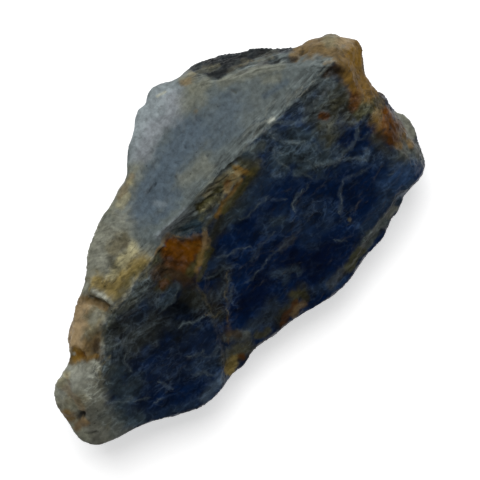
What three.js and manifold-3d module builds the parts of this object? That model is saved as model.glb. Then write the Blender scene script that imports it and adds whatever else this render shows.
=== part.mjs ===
// A rough sapphire: one broken, weathered piece of a corundum crystal, lying on a flat parting face.
// Millimetres, +Z up. The long axis is X. The origin is the middle of the base, on the surface it lies on.
// A long crest divides a smooth grey face (+Y) from a darker, rougher blue face (-Y).

import * as THREE from 'three';
import { mergeVertices } from 'three/addons/utils/BufferGeometryUtils.js';
import { ImprovedNoise } from 'three/addons/math/ImprovedNoise.js';
import Module from 'manifold-3d';

const wasm = await Module();
wasm.setup();

// Driving dimensions. The outline below makes the stone 42 long and 24 wide.
const CREST_HEIGHT = 12;
const BLANK_HEIGHT = 15;
const WALL_STEP = 0.8;
const OUTLINE_STEPS = 130;

// The widest level of the stone is a tilted plane: higher on the +Y side, where the edge is thin.
const WAIST_HEIGHT = 6;
const WAIST_TILT = 0.17;
const WAIST_LEAN = 0.0011;
const WALL_WAVE = 0.35;

// The outline seen from above, from the right tip round by +Y. Every shallow scallop is a chip in the edge.
const OUTLINE = [
  [21.0, 0.0], [20.65, 1.05], [19.9, 1.95], [19.05, 3.0], [18.3, 3.55], [17.45, 3.8], [16.3, 4.9],
  [15.2, 6.45], [13.75, 7.95], [12.35, 9.3], [10.95, 10.2], [8.8, 10.75], [8.05, 11.5], [7.2, 11.95],
  [6.4, 11.8], [5.8, 11.5], [5.1, 11.75], [4.2, 11.5], [3.1, 10.8], [2.3, 10.7], [1.0, 9.85],
  [-0.4, 9.1], [-1.2, 9.1], [-2.0, 9.1], [-2.6, 8.75], [-4.4, 8.8], [-6.4, 8.25], [-7.9, 7.75],
  [-9.1, 7.0], [-10.3, 6.35], [-11.4, 6.15], [-13.0, 5.6], [-14.4, 4.8], [-15.5, 4.0],
  [-16.5, 3.75], [-17.6, 3.8], [-18.8, 3.5], [-19.85, 2.65], [-20.4, 1.0], [-20.95, 0.0],
  [-21.15, -1.2], [-20.65, -2.4], [-19.3, -3.35], [-17.65, -4.15], [-15.9, -5.3], [-14.05, -6.85],
  [-12.65, -7.85], [-11.0, -8.25], [-10.5, -8.15], [-10.0, -8.4], [-8.8, -8.4], [-8.05, -8.75],
  [-5.7, -8.6], [-4.0, -9.2], [-2.4, -9.65], [-1.0, -10.1], [1.6, -11.3], [3.7, -11.75],
  [6.3, -11.7], [9.2, -11.9], [10.1, -11.5], [11.2, -11.6], [12.7, -11.3], [14.3, -11.5],
  [15.4, -11.45], [16.3, -10.9], [17.05, -9.8], [18.05, -8.65], [18.5, -7.15], [18.1, -6.1],
  [18.45, -4.8], [18.5, -3.3], [19.3, -2.15], [20.6, -0.85],
];

// Faces of the top. Each passes through "at" and falls away as "fall", the rise in Z for a step along X and Y.
// "wave" is how far the face strays from flat, and "grain" the length of its swells along and across "along".
const GREY_FACE = { at: [8, 2.1, CREST_HEIGHT], fall: [0.03, -0.38], wave: 0.16, grain: [6, 4] };
const BLUE_FACE = { at: [8, 2.1, CREST_HEIGHT], fall: [0.168, 0.48], wave: 0.38, grain: [4.2, 2.6] };
const LEFT_FACE = { at: [-5, 2, 10.2], fall: [0.14, 0.42], wave: 0.34, grain: [4, 3] };
const LEFT_SLOPE = { at: [-4, 5, 10.4], fall: [0.195, -0.34], wave: 0.32, grain: [3, 2.4] };
const LEFT_TIP = { at: [-18.4, 1, 7.8], fall: [0.8, -0.1], wave: 0.3, grain: [2.4, 2] };
const RIGHT_TIP = { at: [18.2, 1, 12.3], fall: [-1.3, -0.15], wave: 0.4, grain: [2.4, 2] };
const RIGHT_SLOPE = { at: [17, -3, 11], fall: [-1.1, 0.85], wave: 0.45, grain: [2.6, 2] };
const DARK_FACE = { at: [10.45, 8.25, 9.6], fall: [-0.75, -1.14], wave: 0.4, grain: [5, 0.9] };

// Steps broken into the top: a floor through "at" with a riser along the direction "along", in degrees.
// The floor lies to the right of that direction. "span" is how far it runs along it, back and forward,
// "lean" how far the riser leans back for each rise of 1, and "height" how much was broken away above the floor.
const BLUE_STEP = { ...BLUE_FACE, riserAt: [-8.8, -8.1], along: 49, span: [30, 60], lean: 0.9, height: 20 };
const SCARP = { at: [2.1, 2.7, 10.5], fall: [0.25, 0.12], wave: 0.25, grain: [4, 0.7],
  riserAt: [2.1, 2.7], along: -7, span: [4.2, 4.6], lean: 0.6, height: 4 };
const SIDE_LEDGE = { at: [17.4, -8, 4.3], fall: [-0.1, 0.1], wave: 0.25, grain: [2, 2],
  riserAt: [17.4, -8.1], along: 66, span: [2.6, 1.8], lean: 0.4, height: 5 };
const FRONT_LEDGE = { at: [6, -11.2, 4.8], fall: [0.03, 0.3], wave: 0.2, grain: [2, 1],
  riserAt: [6, -11.2], along: -1, span: [2.6, 3.2], lean: 0.8, height: 6 };
const FRONT_CHIP = { at: [11.2, -11.2, 5.5], fall: [0.05, 0.3], wave: 0.15, grain: [2, 1],
  riserAt: [11.2, -11.25], along: 2, span: [1.2, 1.3], lean: 0.8, height: 6 };

// A riser strays sideways by up to RISER_STRAY, in bends of RISER_BEND.
const RISER_STRAY = 0.5;
const RISER_BEND = 1.7;

// Faces of the underside: the compass direction they look to, how far from the middle they leave the base,
// and how steeply they rise from it.
const UNDERSIDE = [
  { towards: 90, baseAt: 5.2, rise: 50 },
  { towards: 62, baseAt: 8.5, rise: 48 },
  { towards: 38, baseAt: 11.6, rise: 57 },
  { towards: -4, baseAt: 16.0, rise: 48 },
  { towards: -38, baseAt: 16.6, rise: 50 },
  { towards: -88, baseAt: 8.6, rise: 45 },
  { towards: -111, baseAt: 8.5, rise: 50 },
  { towards: -136, baseAt: 12.6, rise: 52 },
  { towards: 178, baseAt: 14.2, rise: 36 },
  { towards: 119, baseAt: 5.6, rise: 46 },
];
const UNDERSIDE_FINISH = { wave: 0.4, grain: [4.5, 3] };

// Rounded swellings on the faces, and the hollows scooped out of them: centre, half sizes, turn in degrees.
const LUMPS = [
  { at: [-13.1, 3.9, 7.0], half: [3.0, 1.7, 1.75], turn: 24 },
  { at: [-17.6, 1.2, 6.2], half: [2.4, 1.8, 1.8], turn: -8 },
  { at: [18.3, 0.9, 8.5], half: [1.9, 2.3, 2.5], turn: 15 },
  { at: [16.7, -4.6, 6.9], half: [1.6, 2.2, 2.3], turn: -12 },
  { at: [6.6, 9.6, 7.2], half: [2.6, 2.0, 2.05], turn: 12 },
  { at: [-7.6, 5.0, 7.2], half: [3.2, 1.8, 2.3], turn: 12 },
];
const HOLLOWS = [
  { at: [-2.9, 1.3, 11.6], half: [2.7, 1.7, 2.0], turn: -28 },
  { at: [-6.2, 1.0, 11.2], half: [2.6, 1.2, 1.6], turn: 10 },
  { at: [-10.6, 4.9, 9.7], half: [0.7, 1.7, 1.0], turn: 10 },
  { at: [-15.9, 3.6, 9.5], half: [1.7, 1.4, 1.8], turn: 30 },
  { at: [-18.9, 1.5, 8.6], half: [0.45, 2.6, 1.1], turn: -18 },
  { at: [17.5, 3.1, 12.5], half: [1.5, 0.6, 1.6], turn: -20 },
  { at: [-15.8, 0.5, 9.5], half: [1.9, 0.6, 1.2], turn: 12 },
  { at: [19.8, -2.8, 7.6], half: [1.0, 1.5, 2.6], turn: 35 },
];
const BALL_STRAY = 0.22;

// Grids and sizes of the pieces that do the cutting.
const TOOL_SIZE = 64;
const TOOL_HEIGHT = 20;
const TOP_GRID = 1.0;
const UNDERSIDE_GRID = 1.7;
const BALL_DETAIL = 4;

const noise = new ImprovedNoise();
const UP = new THREE.Vector3(0, 0, 1);
const radians = THREE.MathUtils.degToRad;

// Two octaves of smooth noise, about -1 to 1. "place" shifts the pattern, so that no two faces are alike.
function swell(u, v, place) {
  return noise.noise(u, v, place) + 0.4 * noise.noise(2.7 * u, 2.7 * v, place + 11.3);
}

// A closed three.js geometry as a solid that can be joined and cut.
function solidOf(geometry) {
  const bare = geometry.clone();
  bare.deleteAttribute('normal');
  bare.deleteAttribute('uv');
  const merged = mergeVertices(bare, 1e-4);
  return new wasm.Manifold(new wasm.Mesh({
    numProp: 3,
    vertProperties: merged.attributes.position.array,
    triVerts: new Uint32Array(merged.index.array),
  }));
}

// The height of a face over a point, from the face's own point and fall.
function heightOf({ at, fall }, x, y) {
  return at[2] + fall[0] * (x - at[0]) + fall[1] * (y - at[1]);
}

// The block that the faces are broken from: the outline, drawn up, and leaning in above and below its waist.
function blank() {
  const points = OUTLINE.map(([x, y]) => new THREE.Vector3(x, y, 0));
  const curve = new THREE.CatmullRomCurve3(points, true, 'centripetal');
  const ring = curve.getSpacedPoints(OUTLINE_STEPS).slice(0, -1);
  const shape = new THREE.Shape(ring.map((p) => new THREE.Vector2(p.x, p.y)));
  const geometry = new THREE.ExtrudeGeometry(shape, {
    depth: BLANK_HEIGHT, steps: Math.round(BLANK_HEIGHT / WALL_STEP), bevelEnabled: false,
  });
  const position = geometry.attributes.position;
  for (let i = 0; i < position.count; i++) {
    const x = position.getX(i);
    const y = position.getY(i);
    const fromWaist = position.getZ(i) - (WAIST_HEIGHT + WAIST_TILT * y);
    const inwards = 1 - WAIST_LEAN * fromWaist ** 2;
    const level = position.getZ(i) / 2.1;
    const stray = WALL_WAVE * Math.min(1, Math.abs(fromWaist) / 1.5);
    position.setX(i, x * inwards + stray * noise.noise(x / 2.4, y / 2.4, level));
    position.setY(i, y * inwards + stray * noise.noise(y / 2.4, x / 2.4, level + 7.7));
  }
  return solidOf(geometry);
}

// A block whose underside is an uneven broken face. It spans X and Y as given, with its underside at Z = 0.
function tool(spanX, spanY, height, grid, { wave, grain }, place) {
  const [width, depth] = [spanX[1] - spanX[0], spanY[1] - spanY[0]];
  const geometry = new THREE.BoxGeometry(
    width, depth, height, Math.ceil(width / grid), Math.ceil(depth / grid), 1);
  geometry.translate((spanX[0] + spanX[1]) / 2, (spanY[0] + spanY[1]) / 2, height / 2);
  const position = geometry.attributes.position;
  for (let i = 0; i < position.count; i++) {
    if (position.getZ(i) < height / 2) {
      const [u, v] = [position.getX(i) / grain[0], position.getY(i) / grain[1]];
      position.setZ(i, wave * swell(u, v, place));
    }
  }
  return geometry;
}

// The tool for a face that runs right across the stone.
function faceTool(face, place) {
  const half = [-TOOL_SIZE / 2, TOOL_SIZE / 2];
  const geometry = tool(half, half, TOOL_HEIGHT, TOP_GRID, face, place);
  const normal = new THREE.Vector3(-face.fall[0], -face.fall[1], 1).normalize();
  // The tool's X stays level, so that the grain follows the contour of the face.
  const level = new THREE.Vector3().crossVectors(UP, normal).normalize();
  const turned = new THREE.Matrix4().makeBasis(level, normal.clone().cross(level), normal);
  geometry.applyMatrix4(turned.setPosition(...face.at));
  return solidOf(geometry);
}

// The tool for a step: its floor lies to the right of the riser's direction, and all its sides are risers.
function stepTool(step, place) {
  const { riserAt, along, span, lean, height } = step;
  const geometry = tool([-span[0], span[1]], [-TOOL_SIZE / 2, 0], height, TOP_GRID, step, place);
  const position = geometry.attributes.position;
  for (let i = 0; i < position.count; i++) {
    const [x, y, z] = [position.getX(i), position.getY(i), position.getZ(i)];
    const back = lean * Math.max(0, z) * (x < 0 ? -1 : 1) * Math.min(1, 4 * Math.abs(x) / (span[0] + span[1]));
    position.setX(i, x + back + RISER_STRAY * noise.noise(y / RISER_BEND, place, 1.5));
    position.setY(i, y + lean * Math.max(0, z) + RISER_STRAY * noise.noise(x / RISER_BEND, place, 3.5));
  }
  const normal = new THREE.Vector3(-step.fall[0], -step.fall[1], 1).normalize();
  const [east, north] = [Math.cos(radians(along)), Math.sin(radians(along))];
  const forward = new THREE.Vector3(east, north, step.fall[0] * east + step.fall[1] * north).normalize();
  const turned = new THREE.Matrix4().makeBasis(forward, normal.clone().cross(forward), normal);
  geometry.applyMatrix4(turned.setPosition(...riserAt, heightOf(step, ...riserAt)));
  return solidOf(geometry);
}

// The tool for a face of the underside, which works from outside and below.
function undersideTool({ towards, baseAt, rise }, place) {
  const half = [-TOOL_SIZE / 2, TOOL_SIZE / 2];
  const geometry = tool(half, half, TOOL_HEIGHT, UNDERSIDE_GRID, UNDERSIDE_FINISH, place);
  const [east, north] = [Math.cos(radians(towards)), Math.sin(radians(towards))];
  const [steep, flat] = [Math.sin(radians(rise)), Math.cos(radians(rise))];
  const normal = new THREE.Vector3(east * steep, north * steep, -flat);
  geometry.applyQuaternion(new THREE.Quaternion().setFromUnitVectors(UP, normal));
  geometry.translate(east * baseAt, north * baseAt, 0);
  return solidOf(geometry);
}

// A lump or a hollow: a slightly uneven ball, stretched and turned.
function ball({ at, half, turn }, place) {
  const geometry = new THREE.IcosahedronGeometry(1, BALL_DETAIL);
  const position = geometry.attributes.position;
  const p = new THREE.Vector3();
  for (let i = 0; i < position.count; i++) {
    p.fromBufferAttribute(position, i);
    p.multiplyScalar(1 + BALL_STRAY * noise.noise(2 * p.x + place, 2 * p.y, 2 * p.z));
    position.setXYZ(i, ...p.toArray());
  }
  geometry.scale(...half).rotateZ(radians(turn)).translate(...at);
  return solidOf(geometry);
}

// The stone is the blank, broken face by face, with its lumps joined on and its hollows taken out.
function sapphireSolid() {
  let stone = blank();
  const faces = [GREY_FACE, LEFT_FACE, LEFT_SLOPE, LEFT_TIP, RIGHT_TIP, RIGHT_SLOPE, DARK_FACE];
  faces.forEach((face, i) => { stone = stone.subtract(faceTool(face, 3.1 * i + 0.4)); });
  stone = stone.subtract(stepTool(BLUE_STEP, 30.5));
  LUMPS.forEach((lump, i) => { stone = stone.add(ball(lump, 1.9 * i)); });
  [SCARP, SIDE_LEDGE, FRONT_LEDGE, FRONT_CHIP].forEach((step, i) => {
    stone = stone.subtract(stepTool(step, 40.5 + 2.3 * i));
  });
  HOLLOWS.forEach((hollow, i) => { stone = stone.subtract(ball(hollow, 20 + 1.7 * i)); });
  UNDERSIDE.forEach((face, i) => { stone = stone.subtract(undersideTool(face, 60.5 + 2.9 * i)); });
  return stone;
}

// The solid's triangles, with the middle of the base brought exactly to the origin.
function geometryOf(solid) {
  const { numProp, vertProperties, triVerts } = solid.getMesh();
  const position = new Float32Array((vertProperties.length / numProp) * 3);
  for (let i = 0; i < position.length / 3; i++) {
    position.set(vertProperties.subarray(i * numProp, i * numProp + 3), i * 3);
  }
  const geometry = new THREE.BufferGeometry();
  geometry.setAttribute('position', new THREE.BufferAttribute(position, 3));
  geometry.setIndex(new THREE.BufferAttribute(triVerts, 1));
  geometry.computeBoundingBox();
  const { min, max } = geometry.boundingBox;
  geometry.translate(-(min.x + max.x) / 2, -(min.y + max.y) / 2, -min.z);
  geometry.computeVertexNormals();
  return geometry;
}

const material = new THREE.MeshStandardMaterial({
  color: 0x3a4a5e, roughness: 0.5, metalness: 0, flatShading: true,
});
const sapphire = new THREE.Mesh(geometryOf(sapphireSolid()), material);
sapphire.name = 'sapphire';

const stone = new THREE.Group();
stone.add(sapphire);

export default stone;
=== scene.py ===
import math

import bpy
import numpy as np
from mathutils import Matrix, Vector, noise


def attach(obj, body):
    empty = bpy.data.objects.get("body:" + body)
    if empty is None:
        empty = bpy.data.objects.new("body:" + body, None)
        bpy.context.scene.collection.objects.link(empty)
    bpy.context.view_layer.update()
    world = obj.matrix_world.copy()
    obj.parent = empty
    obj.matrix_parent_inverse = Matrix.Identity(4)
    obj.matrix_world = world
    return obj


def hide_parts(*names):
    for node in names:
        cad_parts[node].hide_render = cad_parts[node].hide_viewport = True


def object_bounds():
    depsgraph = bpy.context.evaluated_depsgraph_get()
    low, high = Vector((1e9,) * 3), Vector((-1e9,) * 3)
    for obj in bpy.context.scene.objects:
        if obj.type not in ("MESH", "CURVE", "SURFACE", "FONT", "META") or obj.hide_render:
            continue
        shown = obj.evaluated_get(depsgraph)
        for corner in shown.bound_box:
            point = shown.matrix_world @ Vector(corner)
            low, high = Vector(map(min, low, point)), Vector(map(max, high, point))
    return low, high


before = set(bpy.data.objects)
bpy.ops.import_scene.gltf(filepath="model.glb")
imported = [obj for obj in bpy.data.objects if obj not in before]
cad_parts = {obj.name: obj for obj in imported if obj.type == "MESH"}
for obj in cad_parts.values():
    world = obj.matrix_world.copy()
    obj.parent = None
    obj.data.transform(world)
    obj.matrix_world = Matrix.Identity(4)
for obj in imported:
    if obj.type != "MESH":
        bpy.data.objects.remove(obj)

cad_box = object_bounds()

# The stone: one broken, weathered crystal of corundum. Its form is the CAD solid. That is remeshed finely here,
# worn smooth, and then chipped, combed with striations and cut with cracks, as by a sculptor's hand.
# All lengths of the stone are in mm, in the frame's own axes.
MM = 0.001
VOXEL = 0.165
WEAR_PASSES = 4
WEAR_FACTOR = 0.5
SEED_STEP = 31.7
# The grain of the broken faces and the flow of the markings: degrees from the X axis.
GRAIN = -14
FLOW = -16
# Depths of what is worked into the surface.
FACETS = (0.11, 0.08, 0.035)
SWELLS = (0.04, 0.015)
LEDGE = 0.04
LAYER = 0.9
SCALE = 0.09
CREST_WEAR = 0.22

bpy.ops.object.select_all(action="DESELECT")
stone = bpy.data.objects.new("broken_crystal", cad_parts["sapphire"].data.copy())
bpy.context.scene.collection.objects.link(stone)
bpy.context.view_layer.objects.active = stone
stone.select_set(True)
stone.data.materials.clear()
bpy.ops.object.mode_set(mode="EDIT")
bpy.ops.mesh.select_all(action="SELECT")
bpy.ops.mesh.remove_doubles(threshold=MM / 1000)
bpy.ops.object.mode_set(mode="OBJECT")
voxels = stone.modifiers.new("voxels", "REMESH")
voxels.mode = "VOXEL"
voxels.voxel_size = VOXEL * MM
bpy.ops.object.modifier_apply(modifier="voxels")
wear = stone.modifiers.new("wear", "SMOOTH")
wear.iterations = WEAR_PASSES
wear.factor = WEAR_FACTOR
bpy.ops.object.modifier_apply(modifier="wear")


def vectors_of(collection, name):
    """One 3-D value for each item of a mesh's collection, such as its vertices' places."""
    flat = np.empty(len(collection) * 3, np.float32)
    collection.foreach_get(name, flat)
    return flat.reshape(-1, 3).astype(float)


# The noise that tilts the broken facets gets a fixed seed, so that every run breaks them in the same way.
FACET_SEED = 1
noise.seed_set(FACET_SEED)


def swells(points, size, seed, octaves=3):
    """Layered noise, about -1 to 1. Its swells have the given size, or one size for each axis."""
    spread = points / np.broadcast_to(size, 3) + SEED_STEP * seed
    return np.array([noise.fractal(p, 1.0, 2.0, octaves) for p in map(Vector, spread.tolist())])


def chips(points, size, seed):
    """Broken facets, about -1 to 1: each cell is a little plane with a tilt and a height of its own."""
    heights = []
    for p in map(Vector, (points / np.broadcast_to(size, 3) + SEED_STEP * seed).tolist()):
        centre = noise.voronoi(p)[1][0]
        heights.append(noise.noise_vector(5.3 * centre).dot(p - centre) + 0.6 * noise.noise(3.7 * centre))
    return np.array(heights)


def turned(points, degrees):
    """The points with their X axis turned, so that a pattern can run along it."""
    c, s = math.cos(math.radians(degrees)), math.sin(math.radians(degrees))
    x, y, z = points.T
    return np.stack([c * x + s * y, c * y - s * x, z], 1)


def soft(value, start, end):
    """0 where the value is at start, 1 where it is at end, and a smooth change between."""
    t = np.clip((value - start) / (end - start), 0, 1)
    return t * t * (3 - 2 * t)


def beside(plan, path):
    """Each point's distance from a path seen from above, and its side: 1 on the left, -1 on the right."""
    nearest = np.full(len(plan), 1e9)
    side = np.ones(len(plan))
    for start, end in zip(path, path[1:] or path):
        run = np.subtract(end, start)
        offset = plan - start
        share = np.clip(offset @ run / max(run @ run, 1e-9), 0, 1)
        distance = np.hypot(*(offset - share[:, None] * run).T)
        closer = distance < nearest
        nearest[closer] = distance[closer]
        side[closer] = np.where(run[0] * offset[:, 1] > run[1] * offset[:, 0], 1.0, -1.0)[closer]
    return nearest, side


def near(points, path, width, edge=0.55):
    """1 within a path's half width, fading to 0 outside it. The edge is the share of the width that fades."""
    return soft(beside(points, path)[0] / width, 1 + edge, 1 - edge)


place = vectors_of(stone.data.vertices, "co") / MM
# All marks below are placed where a viewer high above the stone sees them: whatever is nearer to the viewer
# than the level of view looks larger. The marks' middle is the point that lies under the viewer.
VIEW_CENTRE = (1.23, -1.92, 6.0)
VIEW_DISTANCE = 200.0
MARKS_CENTRE = (1.13, -2.17)
nearness = VIEW_DISTANCE / (VIEW_DISTANCE + VIEW_CENTRE[2] - place[:, 2:])
seen = (place[:, :2] - VIEW_CENTRE[:2]) * nearness + MARKS_CENTRE
facing = vectors_of(stone.data.vertices, "normal")
bend = swells(place, 1.4, 3)
ragged = swells(place, 0.6, 9, 4)
fingers = swells(turned(place, -15), (1.6, 0.3, 0.3), 10, 2)
up = soft(facing[:, 2] + 0.12 * ragged, -0.35, -0.05)
under = soft(-facing[:, 2] + 0.15 * ragged, 0.35, 0.7)
steep = 1 - soft(np.abs(facing[:, 2]), 0.15, 0.6)

# The crest that parts the pale side (+Y and the tip) from the blue side (-Y), and the edge of the dark face.
CREST = [(-18.7, -5.0), (-18.5, -2.5), (-17.6, -0.8), (-16.2, 0.4), (-15.2, 1.0), (-14.3, 1.5), (-13.3, 2.0),
         (-12.6, 2.9), (-11.6, 3.35), (-10.4, 3.4), (-9, 3.1), (-7.6, 3.1), (-4.6, 3.15), (-2.2, 3.1),
         (-1.4, 2.75), (0.4, 2.35), (1.0, 2.5), (2.0, 2.6), (3.4, 2.5), (5, 2.25), (7, 2.05), (9, 2.05),
         (9.7, 1.75), (10.5, 1.4), (12, 1.2), (14, 1.05), (15.2, 0.85), (16.4, 0.5), (18.4, 0.4)]
DARK_EDGE = [(10.4, 10.4), (10.6, 9.3), (11.0, 8.4), (11.3, 7.7), (12.0, 7.1), (13.0, 6.9), (14.0, 6.3),
             (14.8, 5.9), (15.6, 5.1), (16.4, 4.2), (17.2, 3.6)]
over_crest = np.prod(beside(seen, CREST), 0)
melting = 0.3 + 1.4 * soft(seen[:, 0], -15.0, -17.0)
off_dark = seen[:, 1] - np.interp(seen[:, 0], *zip(*DARK_EDGE))
on_dark = up * soft(off_dark + 0.3 * ragged + 0.3 * fingers, -0.1, 0.3) * soft(seen[:, 0], 10.3, 10.7)
on_pale = up * (1 - on_dark) * soft((over_crest + 0.2 * ragged + 0.4 * fingers) / melting, -1, 1)
on_grey = on_pale * soft(seen[:, 0] + 0.4 * bend, -4.8, -3.4)
on_tip = up * soft(seen[:, 0] + 0.5 * bend, -15.0, -17.0)
calm = np.maximum(on_grey, 0.7 * on_tip)

# How rough each part of the surface is: the grey face is the smoothest, and the broken blue side the roughest.
rough = (1 - 0.75 * calm) * (1 - 0.7 * steep)
height = FACETS[0] * rough * chips(turned(place, GRAIN) + 0.25 * bend[:, None], (2.6, 1.4, 1.5), 1)
height += FACETS[1] * rough * chips(turned(place, GRAIN), (1.1, 0.7, 0.7), 2)
height += FACETS[2] * rough * chips(place, (0.55, 0.4, 0.45), 3)
height += SWELLS[0] * rough * swells(place, 0.7, 4)
height += SWELLS[1] * swells(place, 0.35, 5, 2)

# Layers of the crystal stand out as small ledges: round the sides, and as scales on the broken faces.
layer = swells(place, 3.5, 6, 2) + place[:, 2] / LAYER + 0.25 * place[:, 1] / LAYER
height += LEDGE * steep * (layer - np.floor(layer) - 0.5)
scale = 3.2 * swells(turned(place, FLOW), (3.4, 1.7, 1.7), 7, 4)
height += SCALE * up * (1 - 0.9 * calm) * (scale - np.floor(scale) - 0.5)

# The crest itself is worn round.
height -= CREST_WEAR * up * near(seen, CREST[10:], 0.7, 0.9)

# Striations: path, half width of the zone, direction in degrees, pitch, depth, and how strongly they show.
STRIATIONS = [
    ([(9.5, 1.9), (13, 1.3), (17.6, 0.5)], 0.7, -11, 0.40, 0.12, 1.0),
    ([(2, 3.1), (9, 2.7), (15, 1.7), (18, 1.0)], 0.6, -9, 0.40, 0.05, 0.7),
    ([(0.8, 2.2), (3.5, 1.9), (6.0, 1.4)], 0.7, -20, 0.36, 0.13, 1.0),
    ([(-1.5, 2.5), (0.6, 1.8)], 0.8, -33, 0.34, 0.09, 0.9),
    ([(-10.5, 2.8), (-6.5, 2.3), (-4.2, 2.4)], 0.75, -22, 0.34, 0.11, 1.0),
    ([(-9, 4.8), (-5, 4.1)], 1.3, -14, 0.36, 0.07, 0.7),
    ([(-8.5, 7.0), (-3.5, 7.4)], 1.3, -40, 0.36, 0.05, 0.4),
    ([(-15.5, 1.0), (-11.5, 1.0)], 0.9, 20, 0.36, 0.08, 0.7),
    ([(11.3, 9.0), (13.6, 7.2), (16.2, 4.6)], 1.3, -47, 0.50, 0.10, 1.0),
    ([(13, -0.8), (17, -1.4)], 1.3, -25, 0.36, 0.06, 0.4),
    ([(16.2, -3.2), (17.8, -4.6)], 1.2, -40, 0.36, 0.08, 0.6),
    ([(18.6, 2.2), (20.0, 0.4)], 1.2, -55, 0.40, 0.05, 0.3),
    ([(13, -9.6), (16, -9.8)], 0.7, -12, 0.36, 0.05, 0.5),
    ([(-19.6, 2.0), (-18.4, 0.5)], 1.3, -75, 0.40, 0.04, 0.3),
]
grain = turned(place, GRAIN) / (2.6, 0.55, 0.55)
combing = np.zeros(len(place))
for path, width, direction, pitch, depth, contrast in STRIATIONS:
    zone = up * near(seen, path, 1.1 * width, 0.6)
    inside = zone > 0
    run = turned(place[inside], direction) / (7 * pitch, pitch, pitch)
    combed = 1 - 2.2 * np.abs(swells(run, 1.0, 20 + direction, 2))
    height[inside] += depth * zone[inside] * combed
    grain[inside] = run
    combing[inside] = np.maximum(combing[inside], contrast * zone[inside])

# Cracks and cuts, depth below zero, and raised rims and ridges: path, half width, height.
CUTS = [
    ([(-8.8, -8.1), (-7.3, -7.0), (-6.6, -6.3), (-5.2, -5.2), (-5.3, -4.2), (-5.1, -3.0), (-4.6, -1.4)],
     0.22, -0.14),
    ([(-2.0, -3.1), (-2.7, -3.5), (-3.2, -3.9), (-3.8, -4.5), (-4.6, -5.1), (-5.3, -5.6), (-6.1, -6.2)],
     0.14, 0.10),
    ([(-4.2, -1.5), (-4.6, -2.4), (-5.1, -3.2), (-5.3, -3.7)], 0.15, 0.10),
    ([(-17.6, 3.4), (-18.2, 2.3), (-18.9, 1.6), (-19.4, 0)], 0.22, -0.2),
    ([(-19.5, 0.05), (-19.2, -0.1)], 0.3, -0.3),
    ([(-20.3, -1.5), (-19.8, -1.9)], 0.14, -0.2),
    ([(-10.6, 5.8), (-10.5, 4.8), (-10.4, 3.8)], 0.2, -0.1),
    ([(-9.9, 5.7), (-9.8, 3.9)], 0.16, 0.12),
    ([(-9.3, 5.6), (-9.2, 4.5), (-8.4, 3.9), (-6.8, 3.6)], 0.2, -0.08),
    ([(-2.1, 3.0), (-1.7, 2.1), (-1.3, 1.4), (-0.7, 1.0), (-0.1, 0.75)], 0.18, 0.18),
    ([(0.0, 0.7), (-0.4, 0.1), (-1.0, -0.3), (-2.2, -0.7), (-3.6, -1.1)], 0.2, 0.14),
    ([(-4.5, 1.9), (-3.6, 0.8), (-3.4, 0.0)], 0.18, -0.15),
    ([(0.3, 1.15), (2.0, 1.1), (4.5, 1.1), (5.4, 1.05)], 0.14, 0.12),
    ([(1.1, 2.5), (2.3, 2.15), (3.6, 1.9)], 0.14, -0.1),
    ([(3.0, 2.75), (4.4, 2.5), (5.8, 2.15)], 0.14, -0.1),
    ([(8.6, 2.9), (9.6, 2.7), (10.3, 2.3), (10.8, 1.9)], 0.14, 0.13),
    ([(11.3, 2.3), (12.5, 2.5)], 0.12, 0.08),
    ([(11.1, 1.7)], 0.25, 0.14),
    ([(9.8, 1.9), (10.1, 1.2), (10.2, 0.5), (10.3, -0.4), (11.0, -1.4)], 0.14, 0.12),
    ([(8.2, -7.8), (9.0, -7.2), (9.9, -6.5)], 0.16, 0.14),
    ([(10.4, -3.7), (11.0, -4.4), (11.6, -4.95), (12.6, -5.0), (13.9, -5.3), (14.9, -4.9)], 0.16, 0.12),
    ([(6.1, -4.4), (6.4, -4.15), (7.6, -4.0)], 0.14, 0.1),
    ([(-0.2, 6.8), (0.8, 6.65)], 0.12, -0.12),
    ([(17.4, 3.1), (17.9, 2.85)], 0.2, -0.25),
    ([(16.3, 3.5), (16.6, 3.2)], 0.2, -0.2),
    ([(15.2, 4.8), (15.6, 4.4)], 0.2, -0.15),
    ([(17.5, 0.0), (18.1, -0.9)], 0.3, -0.2),
    ([(-5.1, 6.7), (-5.0, 6.1)], 0.12, -0.12),
    ([(-4.8, 5.9), (-4.6, 5.6)], 0.12, -0.12),
    ([(4.8, 6.4)], 0.1, -0.1),
    ([(5.4, 4.4)], 0.12, -0.12),
    ([(7.4, 7.1), (7.5, 6.7)], 0.1, -0.1),
    ([(11.2, 6.0), (11.3, 5.7)], 0.1, -0.08),
]
for path, width, rise in CUTS:
    height += rise * up * near(seen + 0.06 * ragged[:, None], path, width, 0.9)

carved = place + height[:, None] * facing
# The foot stays flat where the stone lies, and nothing grows out of the CAD solid's own box.
carved = np.clip(carved, np.array(cad_box[0]) / MM, np.array(cad_box[1]) / MM)
stone.data.vertices.foreach_set("co", (carved * MM).astype(np.float32).ravel())
stone.data.update()

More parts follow.
